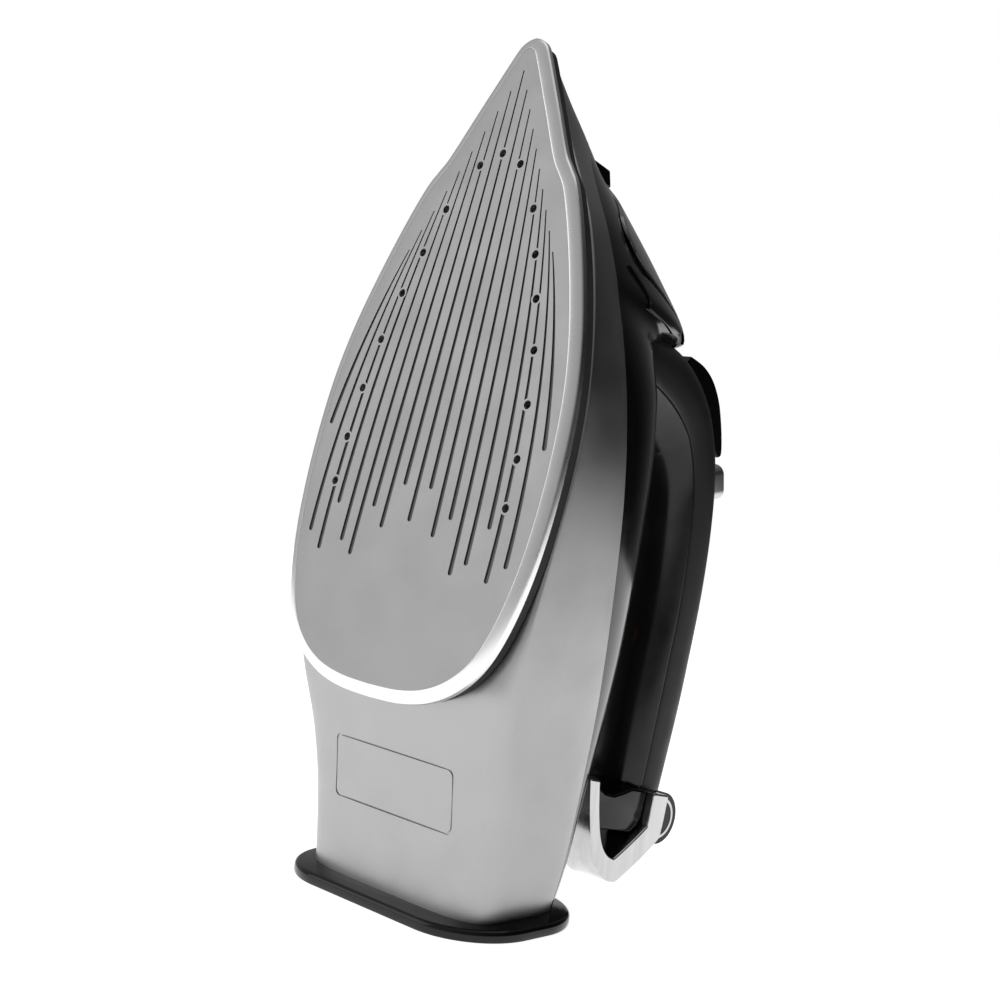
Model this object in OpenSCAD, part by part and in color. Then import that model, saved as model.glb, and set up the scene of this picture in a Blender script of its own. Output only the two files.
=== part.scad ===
// Steam iron that stands on its heel plate.
//
// Every shape is drawn in the iron's own frame: X across, Y from the heel to the tip, Z from the
// ironing face towards the handle.  The module stand() then turns that frame up onto the heel.
// Stood up, +Z points to the tip, +Y to the handle side, and the origin is the centre of the heel
// plate's underside.

/* [Standing] */
// Lean of the ironing face from upright, in degrees
lean = 10.9; // [9:0.1:12]
// Distance from the heel plate's centre back to the plane of the ironing face
face_back = 53.8; // [52:0.1:56]

/* [Soleplate] */
// Width of the bright bevel around the ironing face
rim_w = 4.6; // [3:0.1:6]
// Depth of that bevel
rim_drop = 1.6; // [1:0.1:2.5]
// Thickness of the soleplate
sole_t = 4; // [3.5:0.1:4.5]
// Number of grooves on each side of the middle one
groove_pairs = 9; // [5:1:9]
// Depth of the grooves
groove_depth = 0.5; // [0.2:0.1:1]
// Radius of the steam holes
steam_hole_r = 1.45; // [1:0.05:2]

/* [Housing] */
// Wall thickness of the plastic shells
wall = 2.4; // [1.8:0.1:3]
// Height of the housing's lower edge above the ironing face
skirt_h = 8.3; // [8:0.1:9]

/* [Handle] */
// Wall thickness of the handle shells
grip_wall = 2.2; // [1.8:0.1:2.6]
// Travel of the two push buttons
push_travel = 3; // [1:0.5:3]
// Travel of the steam control
slider_travel = 8; // [4:1:8]
// Lift of the steam valve's needle over that travel
needle_lift = 4; // [2:0.5:4]

/* [Heel] */
// Length of the heel plate
plate_w = 103; // [98:1:108]
// Depth of the heel plate
plate_d = 63; // [60:1:66]
// Radius of the heel plate's corners
plate_r = 26; // [20:1:29]
// Thickness of the heel plate
plate_t = 4.2; // [3.5:0.1:5]

/* [Controls] */
// Radius of the temperature dial
dial_r = 18; // [15:0.5:19]
// Height of the temperature dial
dial_h = 9; // [7:0.5:10]
// Radius of the cord gland's drum
gland_r = 10.2; // [9.8:0.1:11]

/* [Hidden] */
$fn = 48;

// ---- outlines and tables; each row of a table is [place along Y, value] ----

// Right half of the ironing face, from the middle of the heel end to the tip
FACE = [
    [0, 77], [14, 77.6], [26, 80.2], [36, 85.8], [43.5, 94.5], [49, 108.5], [52.6, 127],
    [54, 150], [53, 174], [49.8, 193], [44.3, 212], [37.4, 231], [31.2, 245], [27.4, 250.5],
    [23, 256.5], [15.3, 271], [7.8, 285], [4.2, 291.6], [2.2, 294.8], [0, 296]
];
// Half width of the housing
BODY_W = [
    [0, 42], [12, 43.3], [30, 45.4], [50, 47.4], [75, 50.6], [100, 54], [125, 55.8], [150, 57],
    [165, 56.8], [180, 55.3], [195, 52.4], [210, 48.4], [225, 43.4], [240, 36.8], [250, 30.8],
    [258, 25.6], [266, 20.6], [280, 12.8], [290, 7], [296.5, 3]
];
// Height of the housing's face on the sole side
BODY_LOW = [[0, 31.5], [15, 29.5], [36, 25], [56, 19], [68, 14], [76, 10.4], [84, 8.3], [300, 8.3]];
// Height at which the housing is widest
BODY_MID = [
    [0, 50], [15, 48], [36, 43], [56, 34], [70, 26], [85, 18.5], [100, 12.8], [115, 11], [280, 10.5],
    [298, 9.6]
];
// Height of the housing's crown
BODY_TOP = [
    [0, 74], [20, 79], [50, 87], [75, 91.5], [100, 92], [118, 90], [150, 84], [180, 79.5],
    [200, 79], [212, 82], [218, 91], [221.5, 103], [224.5, 109], [229, 104.6], [241, 85.1],
    [253, 65.6], [265, 46.4], [272, 38], [277, 31.4], [282, 24.4], [287, 18.4], [292, 13.4],
    [296.5, 11]
];
// Roundness of the housing's crown: 2 is an ellipse, more is squarer
BODY_N = [
    [0, 4.2], [20, 3.8], [50, 2.9], [75, 2.6], [150, 2.5], [190, 2.45], [206, 2.1], [220, 1.65],
    [250, 1.6], [275, 1.65], [297, 1.8]
];
LOW_N = 4.5;
// Height of the line where the silver housing meets the black one
SPLIT = [
    [0, 66], [20, 67.5], [45, 67.5], [70, 64.5], [85, 61], [100, 56.2], [130, 46.6], [150, 39.8],
    [165, 34.8], [180, 30.6], [195, 27.4], [215, 24], [232, 21], [248, 19.4], [260, 20.6],
    [268, 24], [273, 28], [277, 31]
];
SPLIT_END = 274.5;

// Handle's middle line: [Y, Z, half thickness, half width]
HANDLE = [
    [60, 140, 13.6, 17], [90, 138.4, 15.2, 17.8], [112, 137, 15.5, 18.2], [135, 135, 15.7, 18.6],
    [158, 131, 16.2, 19], [178, 125.2, 16.6, 19.3], [192, 116.8, 17.6, 19.8],
    [199.5, 107.5, 18.6, 20.8], [204.4, 95.5, 18.6, 22.5], [206.6, 82, 16.8, 25],
    [207.6, 68, 15.6, 28], [208, 54, 15, 30]
];
HANDLE_N = 2.6;
// Angle below the handle's sides at which its outer shell meets the inner grip
SEAM_A = 13;

// Steam holes right of the middle line: [X, Y]
HOLES = [
    [9.4, 254.6], [20.4, 239], [26.4, 223.4], [31.6, 208.6], [36.2, 191.7], [39.2, 174],
    [40.6, 156.3], [40.9, 140.5]
];
TOP_HOLE = [0, 258.6];
// Lower end of each groove, from the middle one outwards: [X, Y]
GROOVE_END = [
    [0, 132], [6.2, 143.7], [12.4, 128.3], [18.4, 134.8], [24.2, 117.4], [30, 121.5],
    [36.2, 134], [40.4, 117.2], [47, 122.8], [50.7, 161]
];
// Upper end of the middle groove, and the steps from each groove's upper end to the next
GROOVE_TOP = 288.1;
GROOVE_STEP = [3.74, 7.08];
GROOVE_W_TOP = 0.5;
GROOVE_W_END = 1.9;
GROOVE_BOW = 0.0000062;

HEEL_SCREW_X = 22;
DIAL_Y = 162;
DIAL_Z = 85.5;
SHAFT_R = 2.5;
PUMP = [9, 209];
PUMP_R = 6.2;
PUMP_Z = [84, 106];
PISTON_R = 4.6;
VALVE_Y = 200;
VALVE_R = 4;
NEEDLE_R = 1.6;
GLAND = [49.4, 160.4];
GLAND_W = 20;
GLAND_PIN_R = 2;
BRACKET_W = 8;
WIRE_Y = 52;
RUN = 0.05;
GAP = 0.35;
// Space between a shell and what is fitted against it
CONTACT = 0.2;

// ---- arithmetic ----

function interval(t, x) =
    let (last = len(t) - 2)
    x <= t[0][0] ? 0 : x >= t[last + 1][0] ? last :
    [for (i = [0 : last]) if (x >= t[i][0] && x < t[i + 1][0]) i][0];

function slope(t, i) =
    let (a = max(i - 1, 0), b = min(i + 1, len(t) - 1))
    (t[b][1] - t[a][1]) / (t[b][0] - t[a][0]);

// Smooth value of table t at x
function curve(t, x) =
    let (i = interval(t, x), d = t[i + 1][0] - t[i][0], u = min(max((x - t[i][0]) / d, 0), 1))
    t[i][1] * (2 * u ^ 3 - 3 * u ^ 2 + 1) + slope(t, i) * d * (u ^ 3 - 2 * u ^ 2 + u)
    + t[i + 1][1] * (3 * u ^ 2 - 2 * u ^ 3) + slope(t, i + 1) * d * (u ^ 3 - u ^ 2);

// Point at u between b and c on the smooth line through a, b, c and d
function between(a, b, c, d, u) =
    0.5 * (2 * b + (c - a) * u + (2 * a - 5 * b + 4 * c - d) * u ^ 2
    + (3 * b - a - 3 * c + d) * u ^ 3);

// Smooth open line through the points of p, with k steps between each pair
function smooth(p, k) =
    let (n = len(p))
    concat([for (i = [0 : n - 2]) for (j = [0 : k - 1])
        between(p[max(i - 1, 0)], p[i], p[i + 1], p[min(i + 2, n - 1)], j / k)], [p[n - 1]]);

function mirrored(half) =
    let (n = len(half))
    concat(half, [for (i = [n - 2 : -1 : 1]) [-half[i][0], half[i][1]]]);

function unit(a) = a / norm(a);

// Closed outline p moved outwards by d
function widened(p, d) =
    let (n = len(p))
    [for (i = [0 : n - 1])
        let (t = unit(p[(i + 1) % n] - p[(i + n - 1) % n])) p[i] + d * [t[1], -t[0]]];

function lifted(p, z) = [for (q = p) [q[0], q[1], z]];

function power(b, e) = sign(b) * pow(abs(b), e);

FACE_LINE = mirrored(smooth(FACE, 3));

// The ironing face's outline drawn in by d, and ended at Y = stop, where it would close up
module inset_face(d, stop) {
    intersection() {
        polygon(widened(FACE_LINE, -d));
        translate([-100, 0]) square([200, stop]);
    }
}

// ---- housing surface ----

// Point of the housing's surface at station y and angle a, moved inwards by d
function body_point(y, a, d) =
    let (up = sin(a) >= 0, mid = curve(BODY_MID, y), n = up ? curve(BODY_N, y) : LOW_N,
         rise = (up ? curve(BODY_TOP, y) - mid : mid - curve(BODY_LOW, y)) - d,
         half = max(curve(BODY_W, y) - d, 0.6))
    [half * power(cos(a), 2 / n), y, mid + max(rise, 0.4) * power(sin(a), 2 / n)];

// Angle at which the surface of station y passes height z
function body_angle(y, z) =
    let (mid = curve(BODY_MID, y), f = (z - mid) / (curve(BODY_TOP, y) - mid))
    asin(min(max(pow(max(f, 0), curve(BODY_N, y) / 2), 0), 0.9995));

// ---- solids ----

function quad(a, b, c, d) = [[a, b, c], [a, c, d]];

// Thin shell between two grids of points, outer[k][j] and inner[k][j]
module skin(outer, inner) {
    K = len(outer);
    M = len(outer[0]);
    points = concat([for (r = outer) for (p = r) p], [for (r = inner) for (p = r) p]);
    function o(k, j) = k * M + j;
    function n(k, j) = K * M + k * M + j;
    faces = concat(
        [for (k = [0 : K - 2]) for (j = [0 : M - 2])
            each quad(o(k, j), o(k + 1, j), o(k + 1, j + 1), o(k, j + 1))],
        [for (k = [0 : K - 2]) for (j = [0 : M - 2])
            each quad(n(k, j), n(k, j + 1), n(k + 1, j + 1), n(k + 1, j))],
        [for (k = [0 : K - 2]) each quad(o(k, 0), n(k, 0), n(k + 1, 0), o(k + 1, 0))],
        [for (k = [0 : K - 2])
            each quad(o(k + 1, M - 1), n(k + 1, M - 1), n(k, M - 1), o(k, M - 1))],
        [for (j = [0 : M - 2]) each quad(o(0, j + 1), n(0, j + 1), n(0, j), o(0, j))],
        [for (j = [0 : M - 2])
            each quad(o(K - 1, j), n(K - 1, j), n(K - 1, j + 1), o(K - 1, j + 1))]);
    polyhedron(points, faces);
}

// Solid through closed rings of points
module loft(rings) {
    K = len(rings);
    M = len(rings[0]);
    faces = concat(
        [for (k = [0 : K - 2]) for (j = [0 : M - 1])
            each quad(k * M + j, k * M + (j + 1) % M, (k + 1) * M + (j + 1) % M, (k + 1) * M + j)],
        [[for (j = [M - 1 : -1 : 0]) j]], [[for (j = [0 : M - 1]) (K - 1) * M + j]]);
    polyhedron([for (r = rings) for (p = r) p], faces);
}

// Round tube of radius r along the points of path
module tube(path, r, sides = 8) {
    n = len(path);
    function ring(i) =
        let (t = unit(path[min(i + 1, n - 1)] - path[max(i - 1, 0)]),
             side = unit(cross(t, abs(t[0]) < 0.9 ? [1, 0, 0] : [0, 1, 0])), up = cross(side, t))
        [for (j = [0 : sides - 1]) let (a = 360 * j / sides)
            path[i] + r * (cos(a) * side + sin(a) * up)];
    loft([for (i = [0 : n - 1]) ring(i)]);
}

// Iron's frame to the standing frame
module stand() {
    translate([0, -face_back, 0]) rotate([90 - lean, 0, 0]) rotate([0, 180, 0]) children();
}

// Extrusion of w across the iron of an outline drawn as [Y, Z]
module slab(w) {
    rotate([90, 0, 90]) linear_extrude(w, center = true) children();
}

// Plate of thickness t at height z, of an outline drawn as [X, Y]
module plate(z, t) {
    translate([0, 0, z]) linear_extrude(t) children();
}

module post(x, y, z, r, h) {
    translate([x, y, z]) cylinder(r = r, h = h);
}

// Cylinder across the iron, centred on its axis
module axle(y, z, r, w) {
    translate([0, y, z]) rotate([0, 90, 0]) cylinder(r = r, h = w, center = true);
}

// Keeps a shell that is cut along curved surfaces as one smooth skin
module shell() { resize([0, 0, 0]) children(); }

// Standing frame to the iron's frame
module unstand() {
    rotate([0, -180, 0]) rotate([lean - 90, 0, 0]) translate([0, face_back, 0]) children();
}

// Everything below the top of the heel plate
module below_heel() {
    unstand() translate([-100, -100, -60]) cube([200, 200, 60 + plate_t]);
}

module heel_outline(w, d, r) {
    square([w - 2 * r, d], center = true);
    square([w, d - 2 * r], center = true);
    for (x = [-1, 1]) for (y = [-1, 1])
        translate([x * (w / 2 - r), y * (d / 2 - r)]) circle(r);
}

STATIONS = [0, 8, 20, 36, 50, 60, 68, 76, 84, 100, 125, 150, 175, 195, 206, 212, 218, 221.5,
            224.5, 226.7, 229, 231.5, 234, 240, 246, 252, 258, 262, 266, 270, SPLIT_END];
TIP_STATIONS = [SPLIT_END, 280, 285, 290, 294, 296.5];

// Whole outer volume of the housing
module body_solid() {
    stations = concat(STATIONS, [for (y = TIP_STATIONS) if (y > SPLIT_END) y]);
    loft([for (y = stations) [for (a = [0 : 9 : 351]) body_point(y, a, -CONTACT)]]);
}

// ---- soleplate and what seals it ----

function groove_top(i) = [i * GROOVE_STEP[0], GROOVE_TOP - i * GROOVE_STEP[1]];

// Middle of groove i at share s of its length
function groove_mid(i, s) =
    let (a = groove_top(i), b = GROOVE_END[i], long = a[1] - b[1])
    a + (b - a) * s + [GROOVE_BOW * (i * long) ^ 2 * 4 * s * (1 - s), 0];

module groove(i) {
    steps = 8;
    half = [for (s = [0 : steps]) let (f = s / steps)
        [groove_mid(i, f), (GROOVE_W_TOP + (GROOVE_W_END - GROOVE_W_TOP) * f) / 2]];
    polygon(concat([for (h = half) h[0] + [h[1], 0]],
                   [for (k = [steps : -1 : 0]) half[k][0] - [half[k][1], 0]]));
    translate(groove_mid(i, 1)) circle(GROOVE_W_END / 2, $fn = 24);
}

module hole_places() {
    translate(TOP_HOLE) children();
    for (h = HOLES) for (side = [-1, 1]) translate([side * h[0], h[1]]) children();
}

module soleplate() {
    color("silver") difference() {
        loft([lifted(widened(FACE_LINE, rim_w), sole_t),
              lifted(widened(FACE_LINE, rim_w), rim_drop), lifted(FACE_LINE, 0)]);
        translate([0, 0, -1]) linear_extrude(1 + groove_depth) difference() {
            for (i = [0 : groove_pairs]) for (side = [0, 1]) mirror([side, 0, 0]) groove(i);
            hole_places() circle(steam_hole_r + 0.7, $fn = 24);
        }
        translate([0, 0, -1]) hole_places() cylinder(r = steam_hole_r, h = sole_t + 2);
    }
}

module heat_gasket() {
    color([0.1, 0.1, 0.1]) plate(sole_t, skirt_h - sole_t) difference() {
        polygon(widened(FACE_LINE, rim_w - 1.4));
        inset_face(8, 272);
    }
}

// ---- housing ----

module lower_housing() {
    arc = 20;
    function line(y, d) =
        let (a = body_angle(y, curve(SPLIT, y)))
        [for (j = [0 : arc]) body_point(y, a - (180 + 2 * a) * j / arc, d)];
    stations = concat([for (y = STATIONS) if (y < SPLIT_END) y], [SPLIT_END]);
    color([0.7, 0.7, 0.71]) shell() difference() {
        union() {
            skin([for (y = stations) line(y, 0)], [for (y = stations) line(y, wall)]);
            loft([for (y = TIP_STATIONS) [for (a = [0 : 18 : 342]) body_point(y, a, 0)]]);
            unstand() heel_bosses();
        }
        plate(-1, 20) inset_face(4.5, 280);
        below_heel();
        unstand() heel_screw_places() translate([0, 0, -1]) cylinder(r = 1.65, h = 16);
    }
}

module heel_screw_places() {
    for (side = [-1, 1]) translate([side * HEEL_SCREW_X, 2, 0]) children();
}

// Bosses for the screws of the heel plate, each on a web from the wall on the sole side
module heel_bosses() {
    for (side = [-1, 1]) translate([side * HEEL_SCREW_X - 1.5, -21, 7.6]) cube([3, 23, 13]);
    heel_screw_places() translate([0, 0, 7.6]) cylinder(r = 4, h = 13);
}

module upper_housing() {
    arc = 20;
    function line(y, d) =
        let (a = body_angle(y, curve(SPLIT, y) + 0.15))
        [for (j = [0 : arc]) body_point(y, a + (180 - 2 * a) * j / arc, d)];
    stations = [for (y = STATIONS) min(y, SPLIT_END - 0.6)];
    color([0.12, 0.12, 0.13]) difference() {
        skin([for (y = stations) line(y, wall)], [for (y = stations) line(y, 0)]);
        below_heel();
        post(0, DIAL_Y, 60, SHAFT_R + 1, 60);
        post(0, VALVE_Y, 60, VALVE_R + 0.2, 60);
        post(0, 112, 60, 3, 60);
        translate([-15, 196, 60]) cube([30, 26.8, 60]);
        lid_place() translate([-7.4, -6, -12]) cube([14.8, 20.4, 20]);
        post(0, WIRE_Y, 60, 3.6, 60);
    }
}

// Angle from the ridge to the edge of the hood
HOOD_SPREAD = [[224.5, 20], [228, 32], [232, 56], [239, 66], [249, 62], [258, 44], [266, 24]];

// Strip of the nose between Y = y0 and y1, from height a to b above the housing's surface, and
// from the angles in table from to those in table to
module nose_strip(y0, y1, from, to, a, b) {
    arc = 24;
    parts = 2;
    function line(y, d) = [for (j = [0 : arc])
        body_point(y, 90 + curve(from, y) + (curve(to, y) - curve(from, y)) * j / arc, d)];
    ends = concat([y0], [for (y = STATIONS) if (y > y0 && y < y1) y], [y1]);
    ys = concat([y0], [for (i = [1 : len(ends) - 1], k = [1 : parts])
        ends[i - 1] + (ends[i] - ends[i - 1]) * k / parts]);
    skin([for (y = ys) line(y, -a)], [for (y = ys) line(y, -b)]);
}

module hood_skin() {
    nose_strip(224.5, 266, [for (p = HOOD_SPREAD) [p[0], -p[1]]], HOOD_SPREAD, 0.2, 1.7);
}

// Tilt of the nose's ridge, and the lid's hinge pin in the lid's own place: [along, above]
RIDGE_TILT = 58.4;
LID_PIN = [11.4, 1.4];

module lid_place() {
    translate([0, 246.5, 76.2]) rotate([-RIDGE_TILT, 0, 0]) children();
}

// Space of the lid, grown by g all round and by more past its hinge
module lid_window(g, past_hinge) {
    lid_place() translate([-7 - g, -9 - g, -4]) cube([14 + 2 * g, 19 + g + past_hinge, 9]);
}

module nose_hood() {
    color([0.75, 0.75, 0.77]) shell() difference() {
        hood_skin();
        lid_window(0.4, 4.8);
    }
}

// Black strips below the hood's upper end, one on each side
module nose_inlays() {
    inner = [[221, 40], [226, 38], [231, 60]];
    outer = [[221, 62], [226, 66], [231, 72]];
    color([0.05, 0.05, 0.05]) for (side = [0, 1]) mirror([side, 0, 0])
        nose_strip(221, 231, inner, outer, 0.2, 1.2);
}

module lid_pin_shape(r, h) {
    lid_place() translate([0, LID_PIN[0], LID_PIN[1]]) rotate([0, 90, 0])
        cylinder(r = r, h = h, center = true);
}

module fill_lid() {
    color([0.75, 0.75, 0.77]) shell() difference() {
        union() {
            intersection() {
                hood_skin();
                lid_window(0, 0);
            }
            lid_pin_shape(2, 8);
        }
        lid_pin_shape(1.2, 20);
    }
}

module fill_lid_pin() {
    color("silver") lid_pin_shape(1.2, 14.7);
}

// Wedge below the hood, with its hole towards the tip
module spray_nozzle() {
    color([0.08, 0.08, 0.08]) difference() {
        slab(9) polygon([[262, 36], [262, 51.6], [266.4, 51.4], [271.8, 49], [272.6, 36]]);
        translate([0, 262, 45]) rotate([-90, 0, 0]) cylinder(r = 1, h = 20);
        translate([-10, 255, 40]) cube([20, 11.2, 20]);
        body_solid();
    }
}

// ---- handle ----

HANDLE_LINE = smooth(HANDLE, 2);

// Point of the handle's surface at station k and angle a, moved inwards by d
function handle_point(k, a, d) =
    let (h = HANDLE_LINE[k], last = len(HANDLE_LINE) - 1,
         t = HANDLE_LINE[min(k + 1, last)] - HANDLE_LINE[max(k - 1, 0)],
         along = unit([t[0], t[1]]), out = [-along[1], along[0]],
         n = (h[2] - d) * power(sin(a), 2 / HANDLE_N))
    [(h[3] - d) * power(cos(a), 2 / HANDLE_N), h[0] + n * out[0], h[1] + n * out[1]];

module handle_part(a0, a1, arc) {
    ks = [0 : len(HANDLE_LINE) - 1];
    function line(k, d) = [for (j = [0 : arc]) handle_point(k, a0 + (a1 - a0) * j / arc, d)];
    shell() difference() {
        skin([for (k = ks) line(k, grip_wall)], [for (k = ks) line(k, 0)]);
        body_solid();
    }
}

BUTTON = [
    [190.4, 128], [190.4, 140.8], [192, 142.5], [197, 141], [204.5, 137.4], [211.4, 133],
    [217.4, 126.6], [220.8, 119], [222, 110], [218.5, 107.5], [205, 120]
];

module button_pocket() {
    translate([0, 0, -push_travel - 1]) slab(24) offset(delta = 0.5) polygon(BUTTON);
    slab(24) offset(delta = 0.5) polygon(BUTTON);
}

module handle_shell() {
    color([0.16, 0.16, 0.17]) shell() difference() {
        handle_part(-SEAM_A, 180 + SEAM_A, 18);
        button_pocket();
        slider_slot();
    }
}

module handle_grip() {
    color([0.25, 0.25, 0.26]) handle_part(180 + SEAM_A, 360 - SEAM_A, 10);
}

// ---- push buttons, their pumps and springs ----

module push_button(side) {
    translate([side * 5.85, 0, 0]) slab(11.3) polygon(concat(
        [BUTTON[0]], smooth([for (i = [1 : 8]) BUTTON[i]], 2), [BUTTON[9], BUTTON[10]]));
}

module piston(side) {
    post(side * PUMP[0], PUMP[1], PUMP_Z[0] + 7, PISTON_R, 5);
    post(side * PUMP[0], PUMP[1], PUMP_Z[0] + 12, 2, 121 - PUMP_Z[0] - 12);
}

module pump_body(side) {
    difference() {
        post(side * PUMP[0], PUMP[1], PUMP_Z[0], PUMP_R, PUMP_Z[1] - PUMP_Z[0]);
        post(side * PUMP[0], PUMP[1], PUMP_Z[0] + 2, PISTON_R + RUN, 40);
        post(side * PUMP[0], PUMP[1], PUMP_Z[0] - 1, 1.5, 10);
    }
}

module pump_spring(side) {
    turns = 4;
    coil = 3.1;
    pitch = 4.2 / turns;
    path = [for (i = [0 : turns * 10]) let (a = 36 * i)
        [side * PUMP[0] + coil * cos(a), PUMP[1] + coil * sin(a), PUMP_Z[0] + 2.4 + pitch * i / 10]];
    tube(path, 0.35, 5);
}

module steam_button() { color([0.06, 0.06, 0.06]) push_button(-1); }
module spray_button() { color([0.06, 0.06, 0.06]) push_button(1); }
module steam_piston() { color("white") piston(-1); }
module spray_piston() { color("white") piston(1); }
module steam_pump_body() { color("ivory") pump_body(-1); }
module spray_pump_body() { color("ivory") pump_body(1); }
module steam_pump_spring() { color("silver") pump_spring(-1); }
module spray_pump_spring() { color("silver") pump_spring(1); }

// ---- steam control ----

SLIDER_TILT = 22;

module slider_place() {
    translate([0, 178.6, 142.2]) rotate([-SLIDER_TILT, 0, 0]) children();
}

module slider_slot() {
    slider_place() translate([-4.5, -slider_travel - 4.5, -12]) cube([9, slider_travel + 9, 30]);
}

module slider_guide() {
    color([0.05, 0.05, 0.05]) shell() difference() {
        slider_place() translate([0, -slider_travel / 2, -3]) linear_extrude(6)
            heel_outline(17, slider_travel + 14, 5);
        slider_slot();
        handle_solid();
    }
}

module steam_slider() {
    color("silver") slider_place() {
        translate([-4, -4, -8]) cube([8, 8, 12]);
        translate([0, 0, 3.4]) linear_extrude(10) heel_outline(15, 14, 4);
    }
}

module valve_body() {
    color("ivory") difference() {
        post(0, VALVE_Y, COVER_TOP, VALVE_R, 66 - COVER_TOP);
        post(0, VALVE_Y, 22, NEEDLE_R + RUN, 60);
        post(0, VALVE_Y, COVER_TOP - 1, 0.8, 10);
    }
}

module valve_needle() {
    color("gold") {
        post(0, VALVE_Y, 23, NEEDLE_R, 59);
        post(0, VALVE_Y, 72, 2.4, 2);
    }
}

module scale_cartridge() {
    color("lightblue") post(14, 205, 19, 5, 9);
}

// ---- temperature dial ----

module temperature_dial() {
    color([0.1, 0.1, 0.1]) difference() {
        union() {
            post(0, DIAL_Y, DIAL_Z, dial_r, dial_h - 1.5);
            translate([0, DIAL_Y, DIAL_Z + dial_h - 1.5]) cylinder(r1 = dial_r, r2 = dial_r - 1.5, h = 1.5);
        }
        for (a = [0 : 12 : 348]) translate([0, DIAL_Y, 0]) rotate(a)
            translate([dial_r + 0.5, 0, DIAL_Z - 1]) cylinder(r = 1, h = dial_h + 4, $fn = 12);
        post(0, DIAL_Y, DIAL_Z - 1, SHAFT_R, dial_h - 2);
    }
}

module dial_ring() {
    color([0.05, 0.05, 0.05]) shell() difference() {
        post(0, DIAL_Y, 70, dial_r + 2.5, DIAL_Z - 0.3 - 70);
        post(0, DIAL_Y, 60, dial_r - 4, 40);
        body_solid();
    }
}

module thermostat_shaft() {
    color("silver") post(0, DIAL_Y, 27.5, SHAFT_R, DIAL_Z + dial_h - 3 - 27.5);
}

// ---- rear of the iron ----

LEG_OUTER = [
    [59.8, 145], [46.7, 145.5], [41.3, 143.5], [27.2, 127.5], [25.1, 123.1], [26.3, 117],
    [31.3, 110.5], [38.7, 105.3], [48.7, 100.7], [61, 96.5]
];
LEG_INNER = [
    [61, 102.1], [49.7, 106.1], [40.9, 110.3], [36.1, 114.5], [34.1, 119.5], [35.3, 122.5],
    [45.7, 134.5], [49.1, 136.1], [59.8, 135.7]
];

module leg(side) {
    color("silver") translate([side * 14.25, 0, 0]) slab(17.5)
        polygon(concat(smooth(LEG_OUTER, 3), smooth(LEG_INNER, 3)));
}

module heel_leg_right() { leg(-1); }
module heel_leg_left() { leg(1); }

BRIDGE_MIDDLE = [
    [60.6, 82], [60.8, 100], [58.6, 106], [56.6, 111], [56.4, 116], [58, 121], [60, 126], [60, 140],
    [48, 140], [44, 134], [43.6, 108], [45, 82]
];
// Lobes that fill the upper part of each leg's loop
BRIDGE_LOBE = [
    [60.4, 103.2], [58.6, 106], [56.6, 111], [56.4, 116], [58, 121], [60, 126], [60, 135.3],
    [49.6, 135.3], [46.4, 133.4], [43.6, 130.2], [43.4, 109.8], [50, 106.6]
];

module rear_bridge() {
    color([0.07, 0.07, 0.07]) shell() difference() {
        union() {
            slab(11) polygon(BRIDGE_MIDDLE);
            slab(40) polygon(BRIDGE_LOBE);
        }
        body_solid();
        handle_solid();
        post(0, WIRE_Y, 60, 3.6, 80);
        translate([-3.6, WIRE_Y, 126]) cube([7.2, 12, 16]);
        handle_screw_places() translate([0, 0, -5]) cylinder(r = 1.7, h = 40);
    }
}

// Each screw runs along the iron, from the bridge into the handle
module handle_screw_places() {
    for (side = [-1, 1]) translate([side * 8.5, 46.5, 132]) rotate([-90, 0, 0]) children();
}

module handle_solid() {
    loft([for (k = [0 : len(HANDLE_LINE) - 1])
        [for (a = [0 : 12 : 348]) handle_point(k, a, -CONTACT)]]);
}

module gland_bracket() {
    color([0.07, 0.07, 0.07]) difference() {
        union() {
            slab(BRACKET_W) polygon([[60, 150], [57, 151.5], [50, 154.9], [45, 160.4], [50, 165.9],
                [56, 165.4], [66, 160], [76, 154], [76, 150]]);
            axle(GLAND[0], GLAND[1], 5.5, BRACKET_W);
        }
        axle(GLAND[0], GLAND[1], GLAND_PIN_R + RUN, 30);
        handle_solid();
    }
}

module gland_pin() {
    color("silver") axle(GLAND[0], GLAND[1], GLAND_PIN_R, GLAND_W - 5);
}

module cord_gland() {
    color([0.05, 0.05, 0.05]) difference() {
        axle(GLAND[0], GLAND[1], gland_r, GLAND_W);
        translate([-BRACKET_W / 2 - GAP, GLAND[0] - 6.2, GLAND[1] - 20])
            cube([BRACKET_W + 2 * GAP, 40, 40]);
        axle(GLAND[0], GLAND[1], GLAND_PIN_R, GLAND_W - 5);
        translate([0, GLAND[0] - 4, GLAND[1]]) rotate([90, 0, 0]) cylinder(r = 3.6, h = 20);
        for (side = [-1, 1]) translate([side * GLAND_W / 2, 0, 0]) ring_shape(0.1);
    }
}

module ring_shape(grow) {
    difference() {
        axle(GLAND[0], GLAND[1], 8 + grow, 1.6 + grow);
        axle(GLAND[0], GLAND[1], 6.9 - grow, 4);
    }
}

module gland_rings() {
    color("silver") for (side = [-1, 1]) intersection() {
        translate([side * GLAND_W / 2, 0, 0]) ring_shape(0);
        axle(GLAND[0], GLAND[1], 20, GLAND_W + 0.4);
    }
}

module heel_plate() {
    color([0.05, 0.05, 0.05]) difference() {
        union() {
            linear_extrude(plate_t - 1) heel_outline(plate_w, plate_d, plate_r);
            translate([0, 0, plate_t - 1]) linear_extrude(1)
                heel_outline(plate_w - 2, plate_d - 2, plate_r - 1);
            translate([0, 2, plate_t]) linear_extrude(3) heel_outline(66, 34, 12);
        }
        heel_screw_places() translate([0, 0, -1]) {
            cylinder(r = 1.7, h = 20);
            cylinder(r = 3.4, h = 3);
        }
    }
}

module heel_screws() {
    color("silver") heel_screw_places() translate([0, 0, 0.6]) {
        cylinder(r = 3, h = 1.4);
        cylinder(r = 1.6, h = 14);
    }
}

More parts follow.
